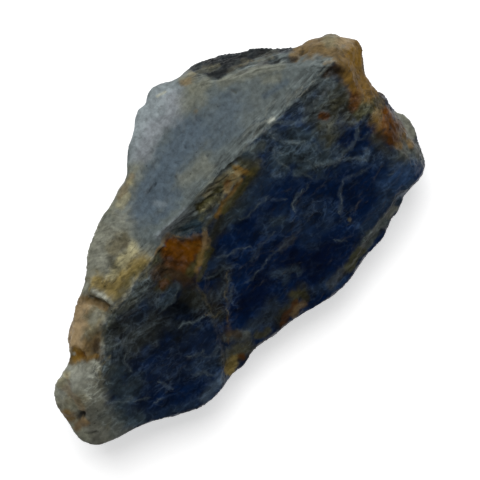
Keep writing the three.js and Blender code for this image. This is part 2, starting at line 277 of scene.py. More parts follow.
# The finishes of the crystal, its crusts and stains: colour in daylight from 0 to 255, roughness, and how
# strongly the fine web of healed cracks shows in it.
FINISHES = {
    "navy": ((0, 20, 50), 0.34, 0.3), "deep": ((0, 11, 38), 0.32, 0.15),
    "blue black": ((1, 6, 15), 0.32, 0.1), "left blue": ((13, 26, 47), 0.36, 0.45),
    "slate blue": ((29, 43, 60), 0.38, 0.45), "light blue": ((38, 60, 90), 0.36, 0.3),
    "mottle": ((44, 55, 60), 0.44, 0.7), "wisp": ((70, 84, 96), 0.44, 0.6), "ash": ((64, 70, 67), 0.44, 0.8),
    "smoke": ((72, 73, 64), 0.42, 0.9), "dusk": ((36, 39, 37), 0.42, 0.7),
    "night": ((16, 22, 29), 0.38, 0.3), "green grey": ((50, 53, 47), 0.44, 0.7),
    "moss": ((60, 59, 44), 0.46, 0.5), "crest dark": ((38, 48, 58), 0.42, 0.5),
    "teal": ((32, 47, 53), 0.40, 0.1), "slate": ((74, 87, 97), 0.40, 0.1), "grey": ((88, 96, 95), 0.44, 0.1),
    "glassy": ((134, 143, 146), 0.30, 0.1), "lavender": ((128, 132, 137), 0.32, 0.1),
    "pale grey": ((120, 121, 108), 0.42, 0.2), "grey cream": ((112, 113, 98), 0.44, 0.15),
    "olive grey": ((78, 79, 67), 0.46, 0.3), "crest pale": ((88, 97, 95), 0.42, 0.2),
    "stone white": ((150, 152, 140), 0.40, 0.3), "cream": ((154, 148, 114), 0.46, 0.2),
    "peach": ((146, 126, 94), 0.44, 0.15), "beige": ((112, 106, 82), 0.48, 0.3),
    "fibre": ((68, 68, 55), 0.46, 0.5), "tip grey": ((84, 84, 75), 0.40, 0.2),
    "olive gold": ((122, 105, 54), 0.50, 0.2), "scarp olive": ((64, 64, 42), 0.48, 0.2),
    "olive": ((58, 55, 27), 0.48, 0.2), "dark olive": ((31, 31, 21), 0.46, 0.3),
    "ochre": ((106, 80, 32), 0.52, 0.15), "yellow": ((128, 97, 34), 0.52, 0.1),
    "orange": ((93, 54, 0), 0.50, 0.05), "rust": ((66, 38, 6), 0.52, 0.05),
    "brown": ((48, 35, 18), 0.52, 0.05), "umber": ((25, 20, 13), 0.50, 0.2),
    "tan": ((104, 85, 52), 0.50, 0.3), "rim": ((118, 98, 68), 0.48, 0.1),
    "maroon": ((56, 42, 25), 0.50, 0.05), "flint": ((48, 53, 55), 0.40, 0.1),
    "black": ((14, 17, 19), 0.38, 0.0), "vein": ((108, 121, 124), 0.40, 0.5),
}


def finish(name):
    """A finish as five numbers: its linear colour, as a shader reads it, its roughness and its web."""
    colour, roughness, web = FINISHES[name]
    share = np.array(colour) / 255
    linear = np.where(share < 0.04045, share / 12.92, ((share + 0.055) / 1.055) ** 2.4)
    return np.array([*linear, roughness, web])


# The broad fields, with edges that melt into each other. Each is a finish, a path, a half width and a strength.
FIELDS = [
    # The left block.
    ("left blue", [(-15.4, -2.8), (-12.4, -4.0), (-8.6, -5.2)], 2.0, 0.95),
    ("night", [(-10.4, -0.7), (-8.8, -1.2), (-8.2, -2.6)], 1.1, 0.9),
    ("blue black", [(-7.0, -1.1), (-6.4, -1.4), (-6.2, -2.6)], 1.0, 1.0),
    ("dusk", [(-12.6, 0.2), (-10.8, 0.2), (-9.0, -0.4)], 1.1, 0.9),
    ("green grey", [(-13.0, 2.6), (-10.2, 2.8), (-8.2, 2.4), (-5.0, 2.4)], 0.9, 1.0),
    ("dusk", [(-12.6, 1.8), (-11.2, 1.6), (-10.0, 1.2)], 0.7, 0.8),
    ("slate blue", [(-9.4, 1.1), (-7.8, 1.1)], 0.6, 0.6),
    ("smoke", [(-17.2, 0.0), (-15.8, 0.3)], 0.9, 0.95),
    ("mottle", [(-15.4, -0.8), (-14.4, -0.2)], 0.8, 0.9),
    ("ash", [(-14.6, 0.8), (-13.2, 1.4)], 0.6, 0.9),
    ("dusk", [(-12.4, 0.8)], 0.6, 0.6),
    ("mottle", [(-16.2, -2.2), (-14.2, -2.0)], 0.7, 0.7),
    ("ash", [(-18.3, -1.4), (-17.9, -2.6)], 0.8, 0.9),
    ("mottle", [(-17.2, -2.2), (-17.4, -3.4), (-16.6, -4.4)], 0.7, 0.85),
    ("slate blue", [(-15.6, -5.2), (-14.2, -6.3), (-12.9, -7.3)], 0.5, 0.8),
    ("night", [(-16.4, -3.4), (-15.4, -4.4)], 0.6, 0.6),
    ("navy", [(-14.6, -4.4), (-12.6, -5.6)], 0.9, 0.9),
    ("slate blue", [(-9.8, -6.0), (-9.0, -6.8), (-7.8, -6.8)], 0.8, 0.7),
    ("wisp", [(-11.8, -7.8), (-9.6, -8.0)], 0.4, 0.6),
    ("moss", [(-7.8, -7.6), (-6.0, -8.0)], 0.7, 0.95),
    # The middle.
    ("dark olive", [(-5.2, -1.2), (-5.2, -3.0), (-5.2, -4.4)], 0.7, 0.9),
    ("dusk", [(-4.4, -3.0), (-3.6, -3.8), (-1.6, -2.4)], 0.6, 0.7),
    ("slate blue", [(-2.6, -1.6), (-1.0, -1.8)], 0.6, 0.6),
    ("dark olive", [(-1.6, -0.3), (0.4, 0.1), (2.6, 0.2), (6.6, 0.2)], 0.7, 0.95),
    ("mottle", [(1.6, -0.5), (4.4, -0.7)], 0.5, 0.7),
    ("deep", [(-3.2, -5.4), (-1.6, -6.6), (-0.5, -5.8)], 0.9, 0.9),
    ("deep", [(2.2, -7.0), (2.6, -8.2), (4.6, -9.0)], 1.4, 0.9),
    ("deep", [(2.0, -1.9), (3.8, -2.2), (5.2, -2.6)], 0.6, 0.3),
    ("crest dark", [(-3.4, -8.0), (-1.8, -7.8)], 0.6, 0.7),
    ("crest dark", [(-5.0, -7.3), (-4.2, -7.6)], 0.5, 0.8),
    ("dark olive", [(-2.4, -8.9), (-0.4, -9.1), (0.8, -9.3)], 0.7, 0.9),
    ("brown", [(-5.4, 1.8), (-4.6, 1.0), (-4.2, -0.3)], 0.8, 1.0),
    ("scarp olive", [(-4.6, 2.8), (-3.6, 2.9)], 0.4, 0.9),
    ("dusk", [(-7.6, 0.6), (-6.9, 1.1)], 0.5, 0.8),
    ("brown", [(-3.8, 0.2), (-2.2, 0.0), (-0.9, 0.5)], 0.5, 0.95),
    ("orange", [(-3.4, 2.2), (-2.8, 1.4), (-1.6, 0.6)], 0.6, 0.95),
    ("teal", [(-1.6, 2.4), (0.2, 1.9)], 0.7, 1.0),
    ("scarp olive", [(1.2, 2.1), (6.4, 1.5)], 0.7, 1.0),
    ("moss", [(6.8, 1.2), (7.4, 0.8)], 0.5, 0.9),
    ("mottle", [(7.6, 1.7), (8.8, 1.3)], 0.5, 0.9),
    # The right part, up to the ochre end.
    ("crest dark", [(8.8, 1.2), (11.0, 0.7), (13.6, 0.5)], 0.7, 0.8),
    ("ash", [(14.4, 0.6), (17.0, 0.3)], 0.6, 0.7),
    ("night", [(14.6, -0.1), (15.8, -0.2)], 0.4, 0.5),
    ("slate blue", [(4.8, -0.8), (8.6, -1.0)], 0.9, 0.8),
    ("mottle", [(9.2, -1.2), (10.2, -2.8), (11.2, -4.0)], 1.1, 0.9),
    ("mottle", [(11.0, -0.8), (12.2, -2.0), (12.8, -3.2)], 1.0, 0.8),
    ("ash", [(13.8, -0.9), (16.8, -1.2)], 0.8, 0.85),
    ("moss", [(13.2, -2.8), (16.2, -2.0), (15.6, -3.4)], 1.0, 0.85),
    ("ochre", [(21.2, 0.4), (21.0, -0.8), (19.6, -1.6)], 1.0, 1.0),
    ("tan", [(19.0, -0.6), (18.3, -2.4), (17.8, -4.0)], 1.0, 0.95),
    ("olive", [(16.9, -4.0), (16.8, -5.4)], 0.7, 0.7),
    ("ochre", [(16.7, -6.2), (16.6, -7.8)], 0.85, 0.95),
    ("moss", [(15.1, -6.4), (14.8, -8.0)], 0.45, 0.7),
    ("ash", [(15.2, -9.0), (15.8, -10.4)], 0.8, 0.85),
    ("slate blue", [(3.6, -3.5), (5.0, -4.0)], 0.8, 0.6),
    ("slate blue", [(4.6, -4.8), (5.4, -6.2), (4.8, -7.0)], 0.8, 0.4),
    ("slate blue", [(6.4, -5.4), (7.4, -5.8), (7.6, -6.8), (6.6, -7.4)], 0.7, 0.5),
    ("slate blue", [(12.6, -6.2), (13.6, -7.0), (14.4, -8.2)], 0.8, 0.6),
    ("light blue", [(12.2, -10.1), (14.8, -10.5)], 0.9, 0.8),
    ("slate blue", [(1.6, -10.2), (3.4, -10.9)], 0.5, 0.6),
    ("slate blue", [(8.2, -10.4), (12.0, -10.6)], 0.6, 0.7),
]
PALE_DABS = [
    ("pale grey", [(-22, 0), (-3, 8)], 9, 1.0),
    ("tip grey", [(-20.0, -1.8), (-18.4, -0.8)], 1.2, 0.95),
    ("ash", [(-18.8, -3.4), (-18.2, -1.6)], 0.6, 0.7),
    ("grey cream", [(-20.7, -1.2), (-20.4, 0.6)], 0.6, 0.95),
    ("beige", [(-18.2, 0.8), (-19.6, 1.6)], 0.7, 0.6),
    ("stone white", [(-17.8, 3.0), (-16.8, 2.4), (-15.8, 1.5)], 0.9, 0.6),
    ("tan", [(-14.4, 3.2), (-13.0, 3.2)], 0.9, 0.95),
    ("maroon", [(-14.6, 2.6), (-13.8, 2.8), (-12.8, 3.0)], 0.5, 0.35),
    ("brown", [(-13.6, 2.3), (-14.2, 1.8)], 0.5, 0.8),
    ("beige", [(-12.8, 4.1), (-11.2, 4.4)], 0.7, 0.95),
    ("peach", [(-14.7, 4.4), (-12.8, 5.2), (-11.4, 5.6)], 0.8, 1.0),
    ("olive gold", [(-9.1, 5.4), (-8.8, 4.4), (-7.4, 4.4), (-5.6, 3.7)], 1.0, 0.9),
    ("cream", [(-7.8, 5.1), (-6.4, 5.0), (-4.6, 4.8)], 0.5, 0.9),
    ("beige", [(-6.0, 6.2), (-4.6, 6.1)], 0.6, 0.8),
    ("olive", [(-9.4, 3.5), (-7.0, 3.6), (-5.6, 3.2)], 0.3, 0.6),
]
GREY_DABS = [
    ("grey", [(-4, 6), (18, 2)], 40, 1.0),
    ("grey cream", [(-3.6, 8.4), (-1.0, 8.3), (0.8, 8.8)], 0.8, 0.9),
    ("pale grey", [(-4.2, 6.8), (-2.8, 7.0)], 1.0, 0.9),
    # Painted light: pale grey and glassy bands that brighten the shaded wall under the crest.
    ("crest pale", [(-2.4, 3.6), (0.6, 3.4)], 0.8, 0.8),
    ("glassy", [(-2.8, 3.7), (-2.0, 3.4), (0.4, 3.0)], 0.35, 0.7),
    ("slate", [(-1.4, 6.2), (2.0, 6.6), (6.2, 6.9)], 1.5, 0.95),
    ("slate", [(7.4, 5.7), (10.2, 5.4)], 1.3, 0.7),
    ("slate", [(0.0, 4.8), (1.0, 4.6)], 0.6, 0.6),
    ("slate", [(6.6, 4.6), (8.6, 3.8)], 0.7, 0.5),
    ("glassy", [(4.4, 10.6), (7.4, 10.4)], 1.4, 1.0),
    ("glassy", [(1.6, 9.6), (3.2, 10.0)], 0.7, 0.8),
    ("lavender", [(2.2, 9.0), (4.2, 9.6), (6.6, 9.0), (7.6, 9.6)], 0.7, 0.6),
    ("grey cream", [(2.5, 4.9), (3.4, 4.4), (4.8, 4.5), (4.4, 3.8)], 0.6, 0.5),
    ("grey cream", [(8.0, 8.4), (9.2, 8.4)], 0.9, 0.6),
    ("grey cream", [(9.4, 9.0), (10.6, 8.2)], 0.5, 0.7),
    ("grey cream", [(11.2, 7.2), (12.6, 6.2), (14.2, 4.9), (15.4, 3.9)], 0.4, 0.6),
    ("beige", [(9.4, 9.9), (10.4, 9.6)], 0.4, 0.8),
    ("grey cream", [(2.0, 2.9), (4.0, 2.7)], 0.3, 0.6),
]
DARK_DABS = [
    ("flint", [(10.5, 10.0), (17.0, 4.0)], 4, 1.0),
    ("night", [(12.0, 9.4), (13.4, 7.8), (14.8, 6.6)], 0.4, 0.4),
    ("olive grey", [(10.8, 9.2), (11.8, 8.6), (12.2, 8.3)], 0.3, 0.7),
    ("olive grey", [(13.0, 6.9), (14.2, 6.1), (15.2, 5.6), (16.0, 4.8)], 0.35, 0.55),
]
# Patches and stains, with ragged edges, and a few marks of painted light and painted highlight.
DABS = [
    # The blue face, from the crest down.
    ("navy", [(8.9, -2.1)], 0.45, 0.6),
    ("navy", [(10.5, -4.9)], 0.4, 0.7),
    ("navy", [(11.2, 0.7), (12.2, 0.6)], 0.35, 0.5),
    ("rust", [(14.0, -1.45), (14.25, -1.95)], 0.32, 1.0),
    ("wisp", [(12.2, -4.4)], 0.3, 0.4),
    ("deep", [(13.3, -4.3), (14.0, -4.7)], 0.45, 0.6),
    ("mottle", [(4.1, -3.6), (4.7, -4.0)], 0.35, 0.5),
    ("moss", [(2.7, -5.5), (4.0, -5.8)], 0.35, 0.3),
    ("wisp", [(12.9, -6.2), (13.4, -6.9), (13.9, -6.6)], 0.25, 0.5),
    ("light blue", [(2.4, -11.0), (3.6, -11.2)], 0.5, 0.5),
    ("mottle", [(0.4, -6.3), (0.9, -6.6), (1.1, -7.2), (0.6, -7.5)], 0.35, 0.4),
    ("mottle", [(1.6, -7.2), (2.1, -7.6), (1.9, -8.0)], 0.25, 0.45),
    ("beige", [(8.15, -8.8)], 0.14, 0.6),
    ("blue black", [(-3.0, -2.0), (-2.1, -2.4)], 0.4, 0.7),
    ("mottle", [(8.8, -2.7), (9.3, -3.2)], 0.4, 0.6),
    ("ash", [(8.2, 1.5), (8.9, 1.2)], 0.4, 0.7),
    ("night", [(-9.6, -1.6), (-8.4, -1.0), (-7.4, -0.9)], 0.4, 0.5),
    ("moss", [(15.6, -1.8), (16.6, -2.2)], 0.45, 0.7),
    ("fibre", [(-6.7, 2.7), (-5.5, 2.7)], 0.3, 0.8),
    ("wisp", [(7.4, -1.1), (7.7, -1.5)], 0.22, 0.5),
    # The right end.
    ("olive grey", [(15.8, -9.4), (16.4, -9.0), (16.6, -10.2)], 0.7, 0.6),
    ("maroon", [(17.4, 0.2), (18.2, -0.2)], 0.4, 0.8),
    ("umber", [(17.6, 0.0), (17.8, -0.5)], 0.3, 0.7),
    ("brown", [(18.0, -0.5), (18.2, -1.0)], 0.3, 0.8),
    ("tan", [(18.2, 3.0), (19.0, 2.0), (19.4, 0.8)], 1.0, 0.95),
    ("beige", [(19.6, 1.8), (20.2, 1.0)], 0.5, 0.8),
    ("peach", [(20.3, 0.9), (20.7, 0.2)], 0.5, 0.8),
    ("ochre", [(19.4, -0.9), (18.4, -1.8), (18.0, -3.6)], 0.85, 0.9),
    ("orange", [(16.3, -3.4), (17.1, -2.9), (17.8, -2.4)], 0.4, 0.7),
    ("ochre", [(17.6, -2.4), (18.3, -1.9)], 0.4, 0.8),
    ("yellow", [(19.7, -0.3), (20.3, -0.5), (19.6, -1.2)], 0.45, 0.9),
    ("scarp olive", [(16.2, -4.2), (17.6, -4.9)], 0.6, 0.8),
    ("night", [(16.1, -4.7), (16.5, -5.0)], 0.3, 0.8),
    ("tan", [(16.8, -5.3), (17.8, -5.2)], 0.35, 0.6),
    ("orange", [(16.6, -6.6), (17.3, -6.2), (17.6, -5.9)], 0.45, 0.95),
    ("rim", [(16.6, -6.6)], 0.2, 0.4),
    ("orange", [(16.2, -7.2), (16.9, -7.0)], 0.45, 0.95),
    ("rust", [(16.1, -7.5), (16.9, -7.4)], 0.5, 0.95),
    ("rust", [(15.7, -7.6), (16.0, -8.0)], 0.35, 0.9),
    ("brown", [(15.5, -6.6), (15.6, -7.2)], 0.3, 0.7),
    ("ochre", [(15.9, -8.5)], 0.35, 0.6),
    ("pale grey", [(18.2, -6.8), (18.0, -8.0), (17.3, -8.9)], 0.4, 0.95),
    ("tan", [(16.7, -9.0), (16.5, -9.4)], 0.25, 0.8),
    ("tan", [(16.7, 3.4), (17.8, 3.2)], 0.4, 0.85),
    # The front edge, from right to left.
    ("mottle", [(11.8, -11.2), (14.0, -11.3)], 0.35, 0.5),
    ("grey cream", [(10.4, -11.3), (11.3, -11.4)], 0.3, 0.6),
    ("ash", [(7.0, -11.2), (9.8, -11.3)], 0.42, 0.95),
    ("scarp olive", [(4.8, -11.2), (6.6, -11.2)], 0.38, 0.9),
    ("moss", [(2.6, -10.9), (4.4, -11.0)], 0.4, 0.5),
    ("rust", [(-2.6, -9.4), (-1.8, -9.3), (-1.1, -9.5), (-0.4, -9.3)], 0.28, 0.65),
    ("tan", [(-1.4, -9.8), (-0.8, -9.7), (-0.1, -10.0)], 0.28, 0.6),
    ("olive", [(0.0, -8.7), (0.5, -9.3), (0.4, -9.9)], 0.35, 0.6),
    ("olive", [(-4.7, -8.3), (-4.3, -8.7), (-3.8, -8.8)], 0.3, 0.7),
    ("fibre", [(-6.4, -6.2), (-5.8, -6.7), (-5.3, -7.4)], 0.45, 0.6),
    ("brown", [(-6.0, -6.0), (-5.6, -6.9)], 0.3, 0.6),
    ("olive gold", [(-8.5, -8.1), (-7.6, -7.9)], 0.38, 0.8),
    ("rust", [(-7.0, -8.3)], 0.3, 0.9),
    # The broken middle: bite, scarp and the dark hollow beside them.
    ("umber", [(-5.0, -3.9), (-4.6, -4.4)], 0.4, 0.6),
    ("mottle", [(-7.4, 0.1), (-5.6, -0.2)], 0.5, 0.7),
    ("olive", [(-6.3, 1.0), (-5.5, 0.9)], 0.5, 0.8),
    ("rust", [(-6.1, 1.0), (-5.6, 0.9)], 0.36, 0.9),
    ("maroon", [(-5.6, 2.0), (-4.6, 1.6), (-4.4, 0.6)], 0.5, 0.9),
    ("orange", [(-3.3, 2.5), (-2.5, 2.5), (-2.2, 1.6), (-1.4, 0.9)], 0.38, 1.0),
    ("orange", [(-3.1, 1.6), (-2.8, 0.7), (-1.8, 0.6)], 0.5, 1.0),
    ("rust", [(-4.1, 1.7), (-3.8, 0.8), (-3.6, 0.0)], 0.36, 1.0),
    ("olive", [(-3.6, -0.4), (-2.4, -0.4), (-1.2, -0.4)], 0.4, 0.9),
    ("ochre", [(-3.2, -0.7), (-2.4, -0.4), (-1.5, 0.0)], 0.25, 0.5),
    ("rim", [(-4.2, 3.0), (-3.0, 3.1), (-2.2, 3.1)], 0.15, 0.6),
    ("rim", [(-0.2, 0.65), (-0.7, 0.3), (-1.2, 0.0)], 0.2, 0.7),
    ("olive", [(-1.0, -0.6), (-2.2, -0.9), (-3.8, -1.3)], 0.22, 0.8),
    ("moss", [(0.1, 0.95), (1.4, 0.95)], 0.2, 0.8),
    ("olive", [(1.2, 2.35), (2.2, 2.1), (3.4, 1.95)], 0.2, 0.95),
    ("dark olive", [(1.6, 1.6), (2.8, 1.4)], 0.28, 0.95),
    ("beige", [(2.4, 2.5), (4.4, 2.2), (5.4, 2.0)], 0.18, 0.8),
    ("tan", [(3.9, 1.3), (4.8, 1.6), (5.5, 1.4)], 0.35, 0.9),
    ("rust", [(4.2, 1.6), (4.7, 1.6)], 0.14, 0.7),
    ("ochre", [(5.95, 1.7), (6.15, 1.0), (6.3, 0.5)], 0.28, 0.85),
    ("ochre", [(1.6, 0.75), (3.0, 0.85), (5.4, 0.8)], 0.2, 0.75),
    ("olive", [(2.4, 0.4), (5.0, 0.4), (6.9, 0.4)], 0.3, 0.8),
    # The slope left of the grey face.
    ("brown", [(-5.4, 5.7), (-5.0, 5.6)], 0.22, 0.5),
    ("tan", [(-10.9, 5.7), (-10.6, 4.8), (-10.4, 3.9)], 0.34, 0.95),
    ("stone white", [(-9.95, 5.6), (-9.8, 4.8), (-9.8, 4.1)], 0.17, 0.8),
    ("pale grey", [(-12.2, 4.1), (-11.3, 4.2)], 0.35, 0.7),
    ("fibre", [(-13.4, 3.6), (-12.6, 3.3)], 0.4, 0.5),
    ("tan", [(-15.8, 3.4), (-14.8, 2.9)], 0.5, 0.9),
    ("yellow", [(-15.6, 3.4), (-15.1, 3.1), (-15.0, 3.8)], 0.3, 0.95),
    ("orange", [(-15.1, 3.4), (-14.9, 2.9)], 0.2, 0.6),
    ("ochre", [(-15.0, 2.5), (-14.4, 2.0)], 0.22, 0.8),
    # Painted highlight: a small white glint beside the orange pit.
    ("stone white", [(-15.35, 3.7)], 0.13, 0.8),
    # The left block, down to its edge, and the tip.
    ("night", [(-13.7, 0.9), (-12.9, 0.5)], 0.5, 0.9),
    ("rim", [(-18.2, 2.6), (-18.5, 1.0), (-18.9, 0.2)], 0.3, 0.5),
    ("cream", [(-18.2, 3.1), (-17.4, 3.1)], 0.4, 0.6),
    ("olive grey", [(-19.6, 1.7), (-19.3, 1.1)], 0.35, 0.6),
    ("ochre", [(-20.1, 1.2), (-19.9, 0.5)], 0.4, 0.8),
    ("umber", [(-19.6, 0.1), (-19.2, -0.1)], 0.2, 0.9),
    ("rim", [(-20.3, -0.3), (-19.6, -0.6)], 0.35, 0.9),
    ("tan", [(-17.3, 3.1), (-17.7, 2.5)], 0.15, 0.5),
    # The fibres of the dark face.
    ("black", [(12.1, 9.1), (12.8, 8.8)], 0.25, 0.8),
    ("black", [(11.2, 8.3), (11.7, 7.8), (12.2, 7.5)], 0.28, 0.8),
    ("black", [(12.7, 8.0), (13.4, 7.4), (14.3, 7.0)], 0.4, 0.75),
    ("black", [(14.0, 7.4), (14.8, 6.8), (15.6, 6.0)], 0.4, 0.7),
    ("night", [(13.4, 6.7), (14.4, 6.2)], 0.3, 0.7),
    ("night", [(15.0, 4.9), (15.7, 4.4)], 0.28, 0.6),
    ("night", [(16.1, 3.9), (16.5, 3.4)], 0.2, 0.6),
    # The grey face's own marks, after painted light: a pale band that brightens the shaded wall under the
    # crest.
    ("glassy", [(-2.5, 3.6), (-1.2, 3.3), (0.2, 3.1)], 0.32, 0.9),
    ("cream", [(-2.4, 8.0), (-1.6, 8.1)], 0.4, 0.5),
    ("slate", [(0.1, 5.7), (0.8, 5.2)], 0.35, 0.6),
    ("slate", [(-1.7, 4.9), (-0.9, 4.4)], 0.3, 0.6),
    ("slate", [(-0.4, 4.4), (0.3, 3.9)], 0.25, 0.5),
    ("glassy", [(-0.6, 5.6), (-0.2, 5.0)], 0.25, 0.3),
    ("slate", [(12.4, 3.4), (13.6, 3.1), (14.6, 2.6)], 0.25, 0.6),
    ("grey cream", [(13.6, 4.2), (14.4, 3.6)], 0.4, 0.5),
    ("night", [(-0.2, 6.8), (0.8, 6.65)], 0.08, 0.7),
    ("night", [(4.8, 6.4)], 0.12, 0.7),
    ("night", [(5.4, 4.45)], 0.12, 0.7),
    ("night", [(7.4, 7.05), (7.5, 6.7)], 0.09, 0.6),
    ("umber", [(2.3, 5.55)], 0.1, 0.5),
    ("moss", [(11.2, 6.0), (11.3, 5.7)], 0.12, 0.5),
    # Painted highlight: a bright glint on the glassy corner.
    ("stone white", [(7.0, 11.0), (7.7, 10.7)], 0.13, 0.9),
    ("stone white", [(10.9, 1.8), (11.3, 1.65)], 0.18, 0.6),
    ("tan", [(9.2, 9.9), (9.7, 9.6)], 0.3, 0.6),
    ("tan", [(-1.9, 8.5), (0.1, 8.7)], 0.3, 0.5),
    ("cream", [(-0.4, 8.5)], 0.3, 0.6),
    ("tan", [(7.9, 7.5)], 0.2, 0.4),
]
SIDES = [
    ("slate blue", [(-21, 0), (21, 0)], 60, 1.0),
    ("brown", [(-4.2, 1.2), (-1.6, 1.2)], 1.7, 1.0),
    # Painted light: pale grey that brightens the shaded wall under the crest.
    ("pale grey", [(-2.6, 3.6), (0.6, 3.1)], 0.5, 0.9),
    ("moss", [(15.8, -2.2), (16.6, -1.6)], 0.6, 0.8),
    ("rust", [(16.4, -7.0), (16.6, -7.8)], 0.8, 0.9),
    ("tip grey", [(-21, 0), (-17, -3)], 2.5, 0.9),
    ("pale grey", [(-16, 5), (-2, 10)], 2.5, 0.8),
    ("slate", [(-2, 10), (9, 12)], 2.5, 0.8),
    ("black", [(11, 10), (17, 4.5)], 2.0, 0.95),
    ("beige", [(19, 3), (20.5, 0)], 2.0, 0.9),
    ("ochre", [(20.8, 0.2), (20.4, -1.2), (19, -3), (18, -6)], 1.6, 0.9),
    ("moss", [(17, -9), (10, -12)], 2.0, 0.5),
    ("navy", [(6, -12), (-3, -10)], 2.0, 0.8),
    ("olive", [(2, -11), (-2, -9.6)], 1.4, 0.6),
    ("night", [(-6, -9), (-15, -6)], 2.0, 0.7),
]
UNDERSIDE = [
    ("slate blue", [(-21, 0), (21, 0)], 60, 1.0),
    ("navy", [(-8, -3), (2, -4)], 4.5, 0.8),
    ("mottle", [(6, 3), (13, 0)], 3.5, 0.8),
    ("pale grey", [(-4, 5), (-12, 2)], 2.5, 0.7),
    ("beige", [(12, -5), (15, -2)], 2.2, 0.8),
    ("ochre", [(8, 6), (12, 4)], 1.4, 0.8),
    ("rust", [(-14, -1), (-11, -3)], 1.3, 0.7),
    ("olive", [(-2, 1), (3, 2)], 1.4, 0.7),
    ("dark olive", [(3, -8), (9, -7)], 1.8, 0.7),
]
stray = np.stack([bend, swells(place, 1.4, 12)], 1)
tatter = np.stack([swells(place, 0.4, 13), swells(place, 0.4, 14)], 1)
cloud = swells(place, 2.0, 15, 5)
mist = swells(turned(place, FLOW), (1.3, 0.7, 0.7), 16, 4)


def lay(paint, dabs, mask, softness):
    """Paints dabs one over the other, within a mask. Their edges wander, fray, and melt or break up."""
    for name, path, width, strength in dabs:
        wandering = seen + min(width, 0.8) * (0.4 * stray + 0.3 * tatter)
        reach = beside(wandering, path)[0] / width + 0.3 * ragged + 0.35 * min(width, 1) * mist
        cover = (strength * mask * soft(reach, 1 + softness, 1 - softness))[:, None]
        paint += cover * (finish(name) - paint)


paint = np.tile(finish("navy"), (len(place), 1))
lay(paint, FIELDS, up, 0.9)
lay(paint, PALE_DABS, on_pale, 0.6)
lay(paint, GREY_DABS, on_grey, 0.8)
lay(paint, DARK_DABS, on_dark, 0.4)
lay(paint, DABS, up, 0.5)
lay(paint, SIDES, 1 - up, 0.8)
lay(paint, UNDERSIDE, under, 0.8)
paint[:, :3] *= np.exp((1 - 0.6 * calm) * (0.22 * cloud + 0.10 * ragged))[:, None]

# Where the web of fine healed cracks is dense: path, half width, strength.
WEBS = [
    ([(-17.4, 0.2), (-15.4, 0.8), (-13.4, 1.2)], 1.0, 1.0),
    ([(-16.4, -1.4), (-13.4, -2.0)], 1.2, 0.7),
    ([(-12.6, 1.2), (-10.0, 2.2), (-6.0, 1.8)], 1.0, 0.7),
    ([(-13.4, -4.2), (-11.0, -3.4)], 1.0, 0.6),
    ([(-9.4, -5.0), (-9.0, -7.4)], 1.2, 0.7),
    ([(-6.2, -3.6), (-4.6, -4.8), (-2.4, -3.2)], 1.1, 0.8),
    ([(-1.6, -3.2), (2.4, -4.4), (6.2, -5.2)], 1.2, 0.6),
    ([(9.0, 1.0), (10.2, -1.4), (10.6, -4.0)], 1.3, 0.9),
    ([(12.4, -4.6), (13.4, -6.8), (14.4, -8.0)], 1.0, 0.9),
    ([(7.0, -5.6), (8.2, -7.2), (8.2, -8.8)], 1.2, 0.7),
    ([(12.0, 0.4), (16.8, -0.4)], 0.9, 0.8),
    ([(12.4, -1.6), (15.6, -2.4), (16.0, -4.4)], 1.3, 1.0),
    ([(16.6, -4.2), (17.2, -5.4)], 0.8, 1.0),
    ([(0.6, -6.8), (1.8, -7.8)], 0.8, 0.5),
]
for path, width, strength in WEBS:
    paint[:, 4] = np.maximum(paint[:, 4], strength * up * near(seen, path, width, 0.9))
